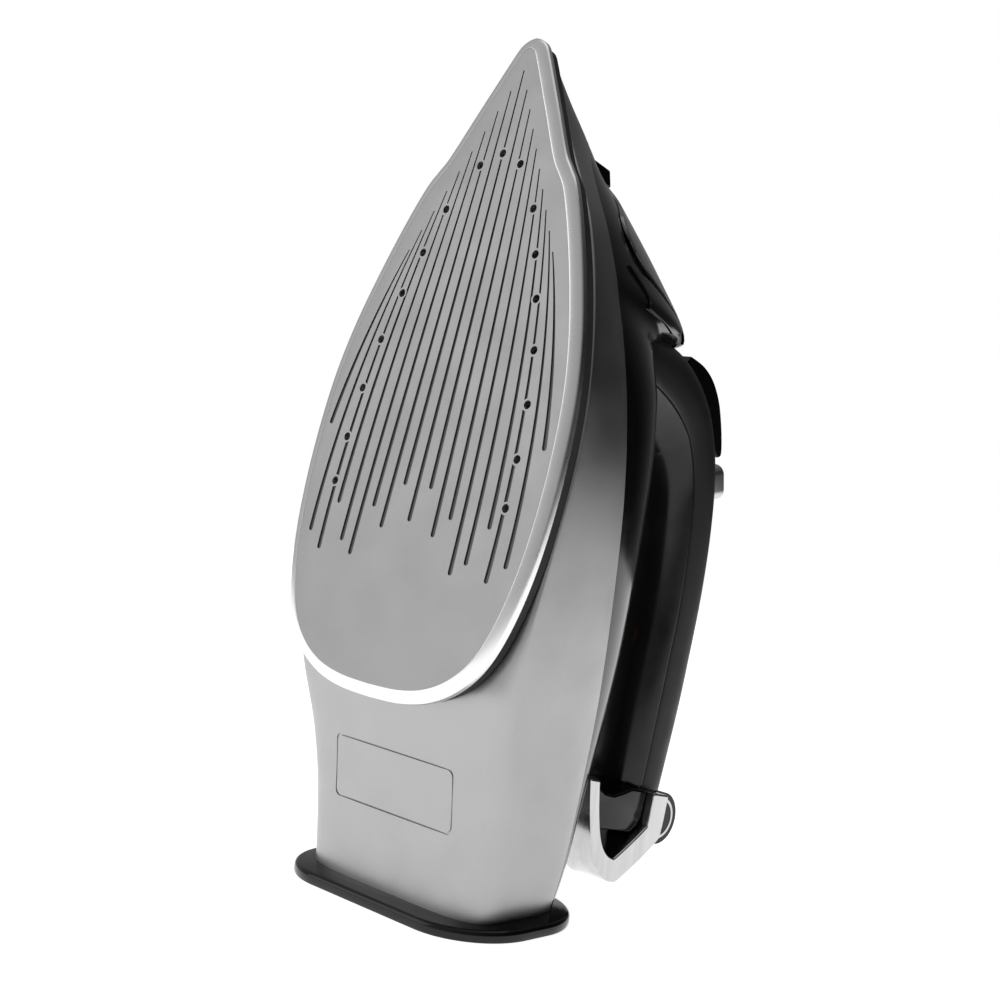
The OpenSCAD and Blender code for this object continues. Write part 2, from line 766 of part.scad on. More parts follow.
// ---- inside ----

ELEMENT_R = 4;
ELEMENT_Z = 9.7;
ELEMENT_X = 26;
ELEMENT_BEND_Y = 205;

module element_shape(r) {
    for (side = [-1, 1]) translate([side * ELEMENT_X, 100, ELEMENT_Z])
        rotate([-90, 0, 0]) cylinder(r = r, h = ELEMENT_BEND_Y - 100);
    translate([0, ELEMENT_BEND_Y, ELEMENT_Z]) rotate_extrude(angle = 180)
        translate([ELEMENT_X, 0]) circle(r);
}

module chamber_outline(grow) {
    translate([0, 165]) heel_outline(36 + 2 * grow, 100 + 2 * grow, 12);
}

module heater_block() {
    color([0.62, 0.62, 0.64]) difference() {
        plate(sole_t, 10) inset_face(9, 270);
        plate(sole_t + 4, 10) chamber_outline(0);
        element_shape(ELEMENT_R + 0.05);
        hole_places() cylinder(r = steam_hole_r, h = 30);
        for (p = SCREWS) post(p[0], p[1], 6, 1.7, 20);
    }
}

module heating_element() {
    color([0.45, 0.4, 0.36]) {
        element_shape(ELEMENT_R);
        for (side = [-1, 1]) translate([side * ELEMENT_X, 87, ELEMENT_Z])
            rotate([-90, 0, 0]) cylinder(r = 1.2, h = 13);
    }
}

module chamber_seal() {
    color("firebrick") plate(sole_t + 10, 0.8) difference() {
        chamber_outline(5);
        chamber_outline(1);
        for (p = SCREWS) translate(p) circle(1.75);
    }
}

module chamber_cover() {
    color("gray") difference() {
        plate(COVER_TOP - 1.4, 1.4) chamber_outline(6);
        post(0, VALVE_Y, 0, 1, 30);
        for (p = SCREWS) post(p[0], p[1], 6, 1.7, 20);
    }
}

SCREWS = [[20, 119], [-20, 119], [18.8, 210], [-18.8, 210]];
COVER_TOP = sole_t + 12.2;

module cover_screws() {
    color("silver") for (p = SCREWS) {
        post(p[0], p[1], COVER_TOP + 0.1, 3, 1.8);
        post(p[0], p[1], 7, 1.65, 10);
    }
}

module thermostat() {
    color("wheat") difference() {
        union() {
            post(0, DIAL_Y, COVER_TOP + 0.1, 9, 9);
            translate([-4, DIAL_Y - 22, COVER_TOP + 0.1]) cube([8, 15, 3]);
        }
        post(0, DIAL_Y, 24, SHAFT_R + RUN, 20);
    }
}

module thermal_fuse() {
    color("gold") translate([12, 140, 18.8]) rotate([90, 0, 0]) cylinder(r = 2.4, h = 16);
}

// Tank: a closed vessel that follows the inside of the housing
module water_tank() {
    ys = [92, 100, 115, 135, 160, 185, 205, 212, 218, 222, 232];
    function ring(y, d) =
        let (low = 32 + d, a0 = body_angle(y, low))
        concat([for (j = [0 : 10]) body_point(y, a0 + (180 - 2 * a0) * j / 10, 5 + d)],
               [for (f = [-0.5, 0, 0.5]) [f * curve(BODY_W, y), y, low - 1]]);
    color([0.6, 0.75, 0.85, 0.6]) difference() {
        loft([for (y = ys) ring(y, 0)]);
        loft([for (y = ys) let (f = (y - 162) / 70) ring(y - 2.2 * f, 2)]);
        post(0, DIAL_Y, 0, SHAFT_R + 2.5, 100);
        post(0, VALVE_Y, 0, VALVE_R + 0.3, 100);
        translate([-17, 192, 68]) cube([34, 60, 60]);
        post(-14, 205, 0, 2.8, 100);
        lid_place() translate([-5, -4, -30]) cube([10, 14, 40]);
    }
}

module terminal_block() {
    color("ivory") difference() {
        translate([-16, 40, 52]) cube([32, 14, 12]);
        for (x = [-10, 0, 10]) post(x, 47, 58, 2.2, 12);
    }
}

module pilot_lamp() {
    color("orange") post(0, 112, 87.2, 2.8, 5.8);
}

module water_hoses() {
    color([0.8, 0.8, 0.75]) {
        tube(smooth([[9, 209, 83.6], [9, 211, 78], [9, 224, 74.4], [8.6, 232, 71.2],
            [8, 240, 63.5], [4, 253, 50], [0, 263.5, 40.5]], 3), 1.8);
        tube(smooth([[-9, 209, 83.6], [-9, 207, 76], [-14, 205, 60], [-14, 205, 40],
            [-14, 205, 17]], 3), 1.8);
    }
}

module wiring() {
    color("firebrick") for (side = [-1, 1]) {
        tube(smooth([[side * 10, 47, 65], [side * 8, 48, 70], [side * 3, WIRE_Y - 1, 77],
            [side * 2, WIRE_Y, 86], [side * 2, WIRE_Y, 128], [side * 2, 58, 137],
            [side * 2, 70, 140]], 3), 1.2);
        tube(smooth([[side * 10, 39, 57], [side * 14, 44, 40], [side * 22, 62, 28],
            [side * 25, 80, 19], [side * 26, 85.4, 15], [side * 26, 86.2, 10.9]], 3), 1.2);
    }
}

module handle_screws() {
    color("silver") handle_screw_places() cylinder(r = 1.6, h = 25);
}

stand() soleplate();
stand() heat_gasket();
stand() lower_housing();
stand() upper_housing();
stand() nose_hood();
stand() nose_inlays();
stand() fill_lid();
stand() fill_lid_pin();
stand() spray_nozzle();
stand() handle_shell();
stand() handle_grip();
stand() rear_bridge();
stand() heel_leg_right();
stand() heel_leg_left();
heel_plate();
stand() temperature_dial();
stand() dial_ring();
stand() thermostat_shaft();
stand() steam_button();
stand() spray_button();
stand() steam_piston();
stand() spray_piston();
stand() steam_pump_body();
stand() spray_pump_body();
stand() steam_pump_spring();
stand() spray_pump_spring();
stand() steam_slider();
stand() slider_guide();
stand() valve_body();
stand() valve_needle();
stand() scale_cartridge();
stand() cord_gland();
stand() gland_rings();
stand() gland_bracket();
stand() gland_pin();
stand() water_tank();
stand() heater_block();
stand() heating_element();
stand() chamber_seal();
stand() chamber_cover();
stand() thermostat();
stand() thermal_fuse();
stand() terminal_block();
stand() pilot_lamp();
stand() water_hoses();
stand() wiring();
stand() cover_screws();
heel_screws();
stand() handle_screws();
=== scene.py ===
"""Looks of a steam iron that stands on its heel plate.

Shapes are worked out in the iron's own frame, in millimetres: x across, v from the heel to the tip
along the ironing face, h from that face towards the handle.  to_row() stands them up, in metres.
"""
import math

import bmesh
import bpy
import numpy as np
from mathutils import Matrix, Vector


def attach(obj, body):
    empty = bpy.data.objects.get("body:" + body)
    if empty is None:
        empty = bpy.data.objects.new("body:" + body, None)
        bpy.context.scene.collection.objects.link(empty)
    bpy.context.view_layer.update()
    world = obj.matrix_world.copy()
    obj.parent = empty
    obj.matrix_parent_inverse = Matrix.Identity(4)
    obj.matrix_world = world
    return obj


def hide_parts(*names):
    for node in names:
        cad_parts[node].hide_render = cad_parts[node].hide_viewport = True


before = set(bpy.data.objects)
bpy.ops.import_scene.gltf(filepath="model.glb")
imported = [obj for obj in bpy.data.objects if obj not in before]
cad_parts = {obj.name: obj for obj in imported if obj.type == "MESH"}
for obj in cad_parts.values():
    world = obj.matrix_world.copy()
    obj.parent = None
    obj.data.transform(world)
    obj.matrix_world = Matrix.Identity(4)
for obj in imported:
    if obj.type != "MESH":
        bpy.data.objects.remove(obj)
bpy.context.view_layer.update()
bpy.context.scene.view_settings.view_transform = "Standard"

# ---- driving dimensions, as in the part's source ----

LEAN = math.radians(10.9)
FACE_BACK = 53.8
RIM_W = 4.6
RIM_DROP = 1.6
SOLE_T = 4.0
GROOVE_PAIRS = 9
GROOVE_DEPTH = 0.5
HOLE_R = 1.45
WALL = 2.4
GRIP_WALL = 2.2
PUSH_TRAVEL = 3.0
SLIDER_TRAVEL = 8.0
PLATE_W, PLATE_D, PLATE_R, PLATE_T = 103.0, 63.0, 26.0, 4.2
DIAL_R, DIAL_H = 18.0, 9.0

FACE = [
    (0, 77), (14, 77.6), (26, 80.2), (36, 85.8), (43.5, 94.5), (49, 108.5), (52.6, 127),
    (54, 150), (53, 174), (49.8, 193), (44.3, 212), (37.4, 231), (31.2, 245), (27.4, 250.5),
    (23, 256.5), (15.3, 271), (7.8, 285), (4.2, 291.6), (2.2, 294.8), (0, 296)]
BODY_W = [
    (0, 42), (12, 43.3), (30, 45.4), (50, 47.4), (75, 50.6), (100, 54), (125, 55.8), (150, 57),
    (165, 56.8), (180, 55.3), (195, 52.4), (210, 48.4), (225, 43.4), (240, 36.8), (250, 30.8),
    (258, 25.6), (266, 20.6), (280, 12.8), (290, 7), (296.5, 3)]
BODY_LOW = [
    (0, 31.5), (15, 29.5), (36, 25), (56, 19), (68, 14), (76, 10.4), (84, 8.3), (300, 8.3)]
BODY_MID = [
    (0, 50), (15, 48), (36, 43), (56, 34), (70, 26), (85, 18.5), (100, 12.8), (115, 11),
    (280, 10.5), (298, 9.6)]
BODY_TOP = [
    (0, 74), (20, 79), (50, 87), (75, 91.5), (100, 92), (118, 90), (150, 84), (180, 79.5),
    (200, 79), (212, 82), (218, 91), (221.5, 103), (224.5, 109), (229, 104.6), (241, 85.1),
    (253, 65.6), (265, 46.4), (272, 38), (277, 31.4), (282, 24.4), (287, 18.4), (292, 13.4),
    (296.5, 11)]
BODY_N = [
    (0, 4.2), (20, 3.8), (50, 2.9), (75, 2.6), (150, 2.5), (190, 2.45), (206, 2.1), (220, 1.65),
    (250, 1.6), (275, 1.65), (297, 1.8)]
LOW_N = 4.5
SPLIT = [
    (0, 66), (20, 67.5), (45, 67.5), (70, 64.5), (85, 61), (100, 56.2), (130, 46.6), (150, 39.8),
    (165, 34.8), (180, 30.6), (195, 27.4), (215, 24), (232, 21), (248, 19.4), (260, 20.6),
    (268, 24), (273, 28), (277, 31)]
SPLIT_END = 274.5
HANDLE = [
    (60, 140, 13.6, 17), (90, 138.4, 15.2, 17.8), (112, 137, 15.5, 18.2), (135, 135, 15.7, 18.6),
    (158, 131, 16.2, 19), (178, 125.2, 16.6, 19.3), (192, 116.8, 17.6, 19.8),
    (199.5, 107.5, 18.6, 20.8), (204.4, 95.5, 18.6, 22.5), (206.6, 82, 16.8, 25),
    (207.6, 68, 15.6, 28), (208, 54, 15, 30)]
HANDLE_N = 2.6
SEAM_A = 13
BUTTON = [
    (190.4, 128), (190.4, 140.8), (192, 142.5), (197, 141), (204.5, 137.4), (211.4, 133),
    (217.4, 126.6), (220.8, 119), (222, 110), (218.5, 107.5), (205, 120)]
HOOD_SPREAD = [
    (224.5, 20), (228, 32), (232, 56), (239, 66), (249, 62), (258, 44), (266, 24)]
BRIDGE_MIDDLE = [
    (60.6, 82), (60.8, 100), (58.6, 106), (56.6, 111), (56.4, 116), (58, 121), (60, 126),
    (60, 140), (48, 140), (44, 134), (43.6, 108), (45, 82)]
BRIDGE_LOBE = [
    (60.4, 103.2), (58.6, 106), (56.6, 111), (56.4, 116), (58, 121), (60, 126), (60, 135.3),
    (49.6, 135.3), (46.4, 133.4), (43.6, 130.2), (43.4, 109.8), (50, 106.6)]
LEG_OUTER = [
    (59.8, 145), (46.7, 145.5), (41.3, 143.5), (27.2, 127.5), (25.1, 123.1), (26.3, 117),
    (31.3, 110.5), (38.7, 105.3), (48.7, 100.7), (61, 96.5)]
LEG_INNER = [
    (61, 102.1), (49.7, 106.1), (40.9, 110.3), (36.1, 114.5), (34.1, 119.5), (35.3, 122.5),
    (45.7, 134.5), (49.1, 136.1), (59.8, 135.7)]
HOLES = [
    (9.4, 254.6), (20.4, 239), (26.4, 223.4), (31.6, 208.6), (36.2, 191.7), (39.2, 174),
    (40.6, 156.3), (40.9, 140.5)]
TOP_HOLE = (0, 258.6)
GROOVE_END = [
    (0, 132), (6.2, 143.7), (12.4, 128.3), (18.4, 134.8), (24.2, 117.4), (30, 121.5),
    (36.2, 134), (40.4, 117.2), (47, 122.8), (50.7, 161)]
GROOVE_TOP = 288.1
GROOVE_STEP = (3.74, 7.08)
GROOVE_W_TOP, GROOVE_W_END = 0.5, 1.9
GROOVE_BOW = 0.0000062
DIAL_V, DIAL_Z = 162.0, 85.5
LID_AT = (246.5, 76.2)
LID_TILT = math.radians(58.4)
SLIDER_AT = (178.6, 142.2)
SLIDER_TILT = math.radians(22)
WIRE_V, WIRE_HOLE_R = 52.0, 3.6
LEG_WIDTH, LEG_X = 17.5, 14.25
BRIDGE_WIDTH, BRIDGE_MIDDLE_WIDTH = 40.0, 11.0
BUTTON_WIDTH, BUTTON_X, POCKET_WIDTH = 11.3, 5.85, 24.0
SCREW_X, SCREW_HOLE_R, SCREW_HEAD_R = 22.0, 1.7, 3.4
KNOB_RINGS = [(0.93, 3.4), (1, 3.9), (1, 12.2), (0.97, 12.9), (0.9, 13.4)]
DIAL_RINGS = [
    (3, 0, 0), (DIAL_R - 1, 0, 0), (DIAL_R - 0.3, 0.5, 0.35), (DIAL_R, 1.2, 0.5),
    (DIAL_R, DIAL_H - 2.2, 0.5), (DIAL_R - 0.5, DIAL_H - 1.2, 0.3), (DIAL_R - 1.6, DIAL_H - 0.5, 0),
    (DIAL_R - 6, DIAL_H - 0.12, 0), (3, DIAL_H, 0)]
NOISE_LOW, NOISE_HIGH = 0.3, 0.7

# ---- arithmetic ----


def to_row(points):
    """Standing points in metres, from points (x, v, h) in millimetres."""
    x, v, h = np.asarray(points, float).reshape(-1, 3).T
    s, c = math.sin(LEAN), math.cos(LEAN)
    return np.column_stack([-x, v * s + h * c - FACE_BACK, v * c - h * s]) / 1000


def curve(table, x):
    """Smooth values of a table of (place, value) at x."""
    px, py = np.array(table, float).T
    x = np.asarray(x, float)
    i = np.clip(np.searchsorted(px, x, side="right") - 1, 0, len(px) - 2)
    ends = np.arange(len(px))
    a, b = np.maximum(ends - 1, 0), np.minimum(ends + 1, len(px) - 1)
    slope = (py[b] - py[a]) / (px[b] - px[a])
    d = px[i + 1] - px[i]
    u = np.clip((x - px[i]) / d, 0, 1)
    return (py[i] * (2 * u**3 - 3 * u**2 + 1) + slope[i] * d * (u**3 - 2 * u**2 + u)
            + py[i + 1] * (3 * u**2 - 2 * u**3) + slope[i + 1] * d * (u**3 - u**2))


def smooth(points, k):
    """Smooth open line through points, with k steps between each pair."""
    p = np.array(points, float)
    n = len(p)
    out = []
    for i in range(n - 1):
        a, b, c, d = p[max(i - 1, 0)], p[i], p[i + 1], p[min(i + 2, n - 1)]
        for j in range(k):
            u = j / k
            out.append(0.5 * (2 * b + (c - a) * u + (2 * a - 5 * b + 4 * c - d) * u**2
                              + (3 * b - a - 3 * c + d) * u**3))
    return np.array(out + [p[-1]])


def widened(line, d):
    """Closed outline moved outwards by d."""
    t = np.roll(line, -1, 0) - np.roll(line, 1, 0)
    t /= np.linalg.norm(t, axis=1)[:, None]
    return line + d * np.column_stack([t[:, 1], -t[:, 0]])


def rounded(w, d, r, steps=10):
    """Rounded rectangle about the origin, counter-clockwise."""
    out = []
    for k, (sx, sy) in enumerate([(1, 1), (-1, 1), (-1, -1), (1, -1)]):
        for j in range(steps + 1):
            a = math.pi / 2 * (k + j / steps)
            out.append((sx * (w / 2 - r) + r * math.cos(a), sy * (d / 2 - r) + r * math.sin(a)))
    return np.array(out)


def power(b, e):
    return np.sign(b) * np.abs(b) ** e


def body_point(v, a, d=0.0):
    """Points of the housing's surface at station v and angles a (radians), moved inwards by d."""
    a = np.asarray(a, float)
    up = np.sin(a) >= 0
    mid = curve(BODY_MID, v)
    n = np.where(up, curve(BODY_N, v), LOW_N)
    rise = np.where(up, curve(BODY_TOP, v) - mid, mid - curve(BODY_LOW, v)) - d
    half = max(float(curve(BODY_W, v)) - d, 0.6)
    return np.column_stack([half * power(np.cos(a), 2 / n), np.full(a.shape, v),
                            mid + np.maximum(rise, 0.4) * power(np.sin(a), 2 / n)])


def body_angle(v, h):
    """Angle at which the surface of station v passes height h."""
    mid = curve(BODY_MID, v)
    f = max(float((h - mid) / (curve(BODY_TOP, v) - mid)), 0)
    return math.asin(min(f ** (float(curve(BODY_N, v)) / 2), 0.9995))


def arc_angles(a0, a1, steps):
    return a0 + (a1 - a0) * np.arange(steps + 1) / steps


def fine_stations(end, step=3.0):
    """Stations from the heel to end, closer together where the nose rises behind the handle."""
    bend = np.arange(200, 240, 1.5)
    plain = np.arange(0, end, step)
    return np.unique(np.concatenate([plain[(plain < 199) | (plain > 240)], bend, [end]]))


# ---- meshes ----


def mesh_object(name, points, faces, material=None):
    mesh = bpy.data.meshes.new(name)
    mesh.from_pydata([tuple(p) for p in points], [], faces)
    bm = bmesh.new()
    bm.from_mesh(mesh)
    bmesh.ops.remove_doubles(bm, verts=bm.verts, dist=1e-7)
    bmesh.ops.recalc_face_normals(bm, faces=bm.faces)
    bm.to_mesh(mesh)
    bm.free()
    obj = bpy.data.objects.new(name, mesh)
    bpy.context.scene.collection.objects.link(obj)
    if material is not None:
        mesh.materials.append(material)
    return obj


def skin(name, outer, inner, material=None):
    """Thin closed shell between two grids of (x, v, h) points."""
    outer, inner = np.array(outer), np.array(inner)
    k, m = outer.shape[:2]
    grid = np.arange(k * m).reshape(k, m)
    faces = []
    for base, flip in ((0, False), (k * m, True)):
        quads = np.stack([grid[:-1, :-1], grid[1:, :-1], grid[1:, 1:], grid[:-1, 1:]], -1)
        quads = quads.reshape(-1, 4) + base
        faces += (quads[:, ::-1] if flip else quads).tolist()
    rim = list(grid[0]) + list(grid[1:, -1]) + list(grid[-1, -2::-1]) + list(grid[-2:0:-1, 0])
    for a, b in zip(rim, rim[1:] + rim[:1]):
        faces.append([int(a), int(b), int(b) + k * m, int(a) + k * m])
    points = to_row(np.concatenate([outer.reshape(-1, 3), inner.reshape(-1, 3)]))
    return mesh_object(name, points, faces, material)


def loft(name, rings, material=None, placed=to_row):
    """Closed solid through rings of points."""
    rings = np.array(rings)
    k, m = rings.shape[:2]
    faces = []
    for i in range(k - 1):
        for j in range(m):
            n = (j + 1) % m
            faces.append([i * m + j, i * m + n, (i + 1) * m + n, (i + 1) * m + j])
    faces.append(list(range(m - 1, -1, -1)))
    faces.append([(k - 1) * m + j for j in range(m)])
    return mesh_object(name, placed(rings.reshape(-1, 3)), faces, material)


def prism(name, outline, low, high, material=None, placed=to_row):
    """Outline (x, v) extruded from height low to high."""
    outline = np.asarray(outline, float)
    rings = [np.column_stack([outline, np.full(len(outline), z)]) for z in (low, high)]
    return loft(name, rings, material, placed)


def slab(name, outline, width, at=0.0, material=None):
    """Outline (v, h) extruded across the iron, centred at x = at."""
    outline = np.asarray(outline, float)
    rings = [np.column_stack([np.full(len(outline), x), outline])
             for x in (at - width / 2, at + width / 2)]
    return loft(name, rings, material)


def lathe(name, profile, place, turns=72, material=None):
    """Solid of revolution of a (radius, height) profile; place() puts its points."""
    rings = []
    for r, z in profile:
        a = np.arange(turns) * 2 * math.pi / turns
        rings.append(np.column_stack([r * np.cos(a), r * np.sin(a), np.full(turns, z)]))
    return loft(name, rings, material, place)


def metres(points):
    return np.asarray(points, float) / 1000


def placed_at(v, h, tilt=0.0, x=0.0):
    """Placing of local points (across, along, up) at (v, h), tilted down towards the tip."""
    s, c = math.sin(tilt), math.cos(tilt)

    def place(p):
        p = np.asarray(p, float).reshape(-1, 3)
        return to_row(np.column_stack([x + p[:, 0], v + p[:, 1] * c + p[:, 2] * s,
                                       h - p[:, 1] * s + p[:, 2] * c]))
    return place


def box_cutter(lows, highs, placed=to_row):
    (x0, y0, z0), (x1, y1, z1) = lows, highs
    return prism("cutter", [(x0, y0), (x1, y0), (x1, y1), (x0, y1)], z0, z1, None, placed)


def applied(obj):
    """Makes the modifiers' result the object's own mesh."""
    graph = bpy.context.evaluated_depsgraph_get()
    mesh = bpy.data.meshes.new_from_object(obj.evaluated_get(graph))
    obj.modifiers.clear()
    old = obj.data
    obj.data = mesh
    bpy.data.meshes.remove(old)
    return obj


def combine(obj, tool, operation="DIFFERENCE"):
    mod = obj.modifiers.new("cut", "BOOLEAN")
    mod.operation = operation
    mod.solver = "MANIFOLD"
    mod.object = tool
    applied(obj)
    bpy.data.objects.remove(tool)
    return obj


def bevelled(obj, width, segments=3, angle=35):
    mod = obj.modifiers.new("edges", "BEVEL")
    mod.width = width / 1000
    mod.segments = segments
    mod.limit_method = "ANGLE"
    mod.angle_limit = math.radians(angle)
    mod.use_clamp_overlap = True
    return applied(obj)


def softened(obj, angle=32):
    """Smooth shading, kept sharp only where the surface really turns."""
    obj.data.shade_smooth()
    obj.data.set_sharp_from_angle(angle=math.radians(angle))
    return obj


# ---- materials ----


class Surface:
    """A node material under construction."""

    def __init__(self, name, **values):
        self.material = bpy.data.materials.new(name)
        self.material.use_nodes = True
        self.nodes = self.material.node_tree.nodes
        self.links = self.material.node_tree.links
        self.shader = self.nodes["Principled BSDF"]
        for key, value in values.items():
            self.shader.inputs[key.replace("_", " ")].default_value = value
        self.place = self.nodes.new("ShaderNodeTexCoord").outputs["Object"]

    def noise(self, scale, detail=3.0, stretch=None):
        source = self.place
        if stretch is not None:
            mapping = self.nodes.new("ShaderNodeMapping")
            mapping.inputs["Scale"].default_value = stretch
            self.links.new(source, mapping.inputs["Vector"])
            source = mapping.outputs["Vector"]
        noise = self.nodes.new("ShaderNodeTexNoise")
        noise.inputs["Scale"].default_value = scale
        noise.inputs["Detail"].default_value = detail
        self.links.new(source, noise.inputs["Vector"])
        return noise.outputs["Fac"]

    def ramp(self, source, low, high):
        ramp = self.nodes.new("ShaderNodeMapRange")
        ramp.inputs["From Min"].default_value = NOISE_LOW
        ramp.inputs["From Max"].default_value = NOISE_HIGH
        ramp.inputs["To Min"].default_value = low
        ramp.inputs["To Max"].default_value = high
        self.links.new(source, ramp.inputs["Value"])
        return ramp.outputs["Result"]

    def roughness(self, source, low, high):
        self.links.new(self.ramp(source, low, high), self.shader.inputs["Roughness"])
        return self

    def tones(self, source, dark, light):
        ramp = self.nodes.new("ShaderNodeValToRGB")
        ramp.color_ramp.elements[0].position = NOISE_LOW
        ramp.color_ramp.elements[1].position = NOISE_HIGH
        ramp.color_ramp.elements[0].color = (*dark, 1)
        ramp.color_ramp.elements[1].color = (*light, 1)
        self.links.new(source, ramp.inputs["Fac"])
        self.links.new(ramp.outputs["Color"], self.shader.inputs["Base Color"])
        return self

    def bump(self, source, distance, strength=0.5):
        bump = self.nodes.new("ShaderNodeBump")
        bump.inputs["Strength"].default_value = strength
        bump.inputs["Distance"].default_value = distance / 1000
        self.links.new(source, bump.inputs["Height"])
        self.links.new(bump.outputs["Normal"], self.shader.inputs["Normal"])
        return self


def grey(value):
    return (value, value, value)


def satin_metal(name, dark, light, rough=(0.4, 0.5), coat=0.0):
    s = Surface(name, Metallic=1.0, Coat_Weight=coat, Coat_Roughness=0.25)
    s.tones(s.noise(4200, 2), grey(dark), grey(light))
    s.roughness(s.noise(60, 4), *rough)
    return s.bump(s.noise(5200, 2), 0.004, 0.15)


def moulded(name, dark, light, rough, grain=0.01, scale=1500, coat=0.0, specular=0.5):
    s = Surface(name, Coat_Weight=coat, Coat_Roughness=0.04, Specular_IOR_Level=specular)
    s.tones(s.noise(40, 3), grey(dark), grey(light))
    s.roughness(s.noise(120, 5), *rough)
    return s.bump(s.noise(scale, 2), grain, 0.3)


def brushed(name, dark, light, rough, stretch):
    s = Surface(name, Metallic=1.0)
    lines = s.noise(400, 4, stretch)
    s.tones(lines, grey(dark), grey(light))
    s.roughness(lines, *rough)
    return s.bump(lines, 0.008, 0.3)


LOOK = {
    "sole": satin_metal("sole_face", 0.37, 0.4, (0.42, 0.5)).material,
    # The rim: a much lighter copy of the sole metal, a painted highlight on the bevel.
    "rim": satin_metal("sole_rim_painted_highlight", 0.84, 0.9, (0.25, 0.33)).material,
    # The grooves: a much darker copy of the sole metal, painted shade in the recessed channels.
    "groove": satin_metal("sole_groove_painted_shade", 0.12, 0.15, (0.5, 0.6)).material,
    "skirt": satin_metal("silver_paint", 0.38, 0.43, (0.34, 0.42), 0.15).material,
    "gloss": moulded("black_gloss", 0.003, 0.004, (0.1, 0.16), 0.004, 900, specular=0.35).material,
    "satin": moulded("black_satin", 0.007, 0.009, (0.4, 0.48), 0.012, 1800, specular=0.3).material,
    "grip": moulded("grip_gloss", 0.006, 0.009, (0.16, 0.24), 0.006, 1200, specular=0.35).material,
    "hood": satin_metal("hood_gloss", 0.14, 0.17, (0.1, 0.14), 0.6).material,
    "rubber": moulded("seal_rubber", 0.012, 0.02, (0.6, 0.75), 0.03, 1200).material,
    "chrome": brushed("leg_chrome", 0.55, 0.65, (0.16, 0.24), (1, 1, 0.05)).material,
    "knob": satin_metal("knob_silver", 0.55, 0.62, (0.3, 0.36), 0.3).material,
    "steel": brushed("steel", 0.45, 0.55, (0.25, 0.35), (0.05, 1, 1)).material,
    "cast": satin_metal("cast_aluminium", 0.35, 0.5, (0.5, 0.65)).material,
    "ivory": moulded("ivory_plastic", 0.5, 0.6, (0.4, 0.5)).material,
    "clear": moulded("tank_plastic", 0.4, 0.5, (0.2, 0.3)).material,
    "hose": moulded("hose_silicone", 0.5, 0.58, (0.5, 0.6)).material,
}


def tinted(name, dark, light, rough, metallic=0.0):
    s = Surface(name, Metallic=metallic)
    s.tones(s.noise(80, 3), dark, light)
    s.roughness(s.noise(150, 4), *rough)
    return s.bump(s.noise(1500, 2), 0.01, 0.3).material


LOOK["red"] = tinted("red_silicone", (0.3, 0.03, 0.02), (0.4, 0.05, 0.03), (0.5, 0.6))
LOOK["brass"] = tinted("brass", (0.6, 0.42, 0.16), (0.7, 0.5, 0.22), (0.25, 0.35), 1.0)
LOOK["amber"] = tinted("amber_lens", (0.5, 0.13, 0.02), (0.6, 0.17, 0.03), (0.12, 0.2))

NODE_LOOK = {
    "heat_gasket": "rubber", "dial_ring": "satin",
    "fill_lid_pin": "hood", "thermostat_shaft": "steel", "steam_piston": "ivory",
    "spray_piston": "ivory", "steam_pump_body": "ivory", "spray_pump_body": "ivory",
    "steam_pump_spring": "steel", "spray_pump_spring": "steel", "valve_body": "ivory",
    "valve_needle": "brass", "scale_cartridge": "ivory", "cord_gland": "gloss",
    "gland_rings": "chrome", "gland_bracket": "satin", "gland_pin": "steel", "water_tank": "clear",
    "heater_block": "cast", "heating_element": "steel", "chamber_seal": "red",
    "chamber_cover": "cast", "thermostat": "ivory", "thermal_fuse": "brass",
    "terminal_block": "ivory", "pilot_lamp": "amber", "water_hoses": "hose", "wiring": "red",
    "cover_screws": "steel", "heel_screws": "steel", "handle_screws": "steel",
    "slider_guide": "satin"}


def dress_cad_nodes():
    for node, look in NODE_LOOK.items():
        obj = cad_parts[node]
        for i in range(max(len(obj.material_slots), 1)):
            if not obj.material_slots:
                obj.data.materials.append(LOOK[look])
            obj.material_slots[i].material = LOOK[look]


def stands_for(obj, node, body):
    """Hides a CAD node and puts the piece that shows in its place under a body's empty, so it moves
    with that body.
    """
    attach(obj, body)
    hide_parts(node)
    return obj


# ---- soleplate ----

FACE_HALF = smooth(FACE, 9)
FACE_LINE = np.concatenate([FACE_HALF, (FACE_HALF * (-1, 1))[-2:0:-1]])


def groove_mid(i, s):
    a = np.array([i * GROOVE_STEP[0], GROOVE_TOP - i * GROOVE_STEP[1]])
    b = np.array(GROOVE_END[i])
    bow = GROOVE_BOW * (i * (a[1] - b[1])) ** 2 * 4 * s * (1 - s)
    return a + (b - a) * s + (bow, 0)


def groove_outline(i, side):
    steps = 24
    shares = np.arange(steps + 1) / steps
    mids = np.array([groove_mid(i, s) for s in shares])
    half = (GROOVE_W_TOP + (GROOVE_W_END - GROOVE_W_TOP) * shares)[:, None] / 2
    right, left = mids + half * (1, 0), (mids - half * (1, 0))[::-1]
    end = [mids[-1] + GROOVE_W_END / 2 * np.array([math.cos(a), math.sin(a)])
           for a in -math.pi * np.arange(1, 12) / 12]
    return np.concatenate([right, end, left]) * (side, 1)


def hole_places():
    return [TOP_HOLE] + [(side * x, v) for x, v in HOLES for side in (-1, 1)]


def circle(at, r, steps=32):
    a = np.arange(steps) * 2 * math.pi / steps
    return np.column_stack([at[0] + r * np.cos(a), at[1] + r * np.sin(a)])


def joined(objects, name="cutter"):
    """One object of several that don't touch."""
    bm = bmesh.new()
    for obj in objects:
        bm.from_mesh(obj.data)
        bpy.data.objects.remove(obj)
    mesh = bpy.data.meshes.new(name)
    bm.to_mesh(mesh)
    bm.free()
    out = bpy.data.objects.new(name, mesh)
    bpy.context.scene.collection.objects.link(out)
    return out


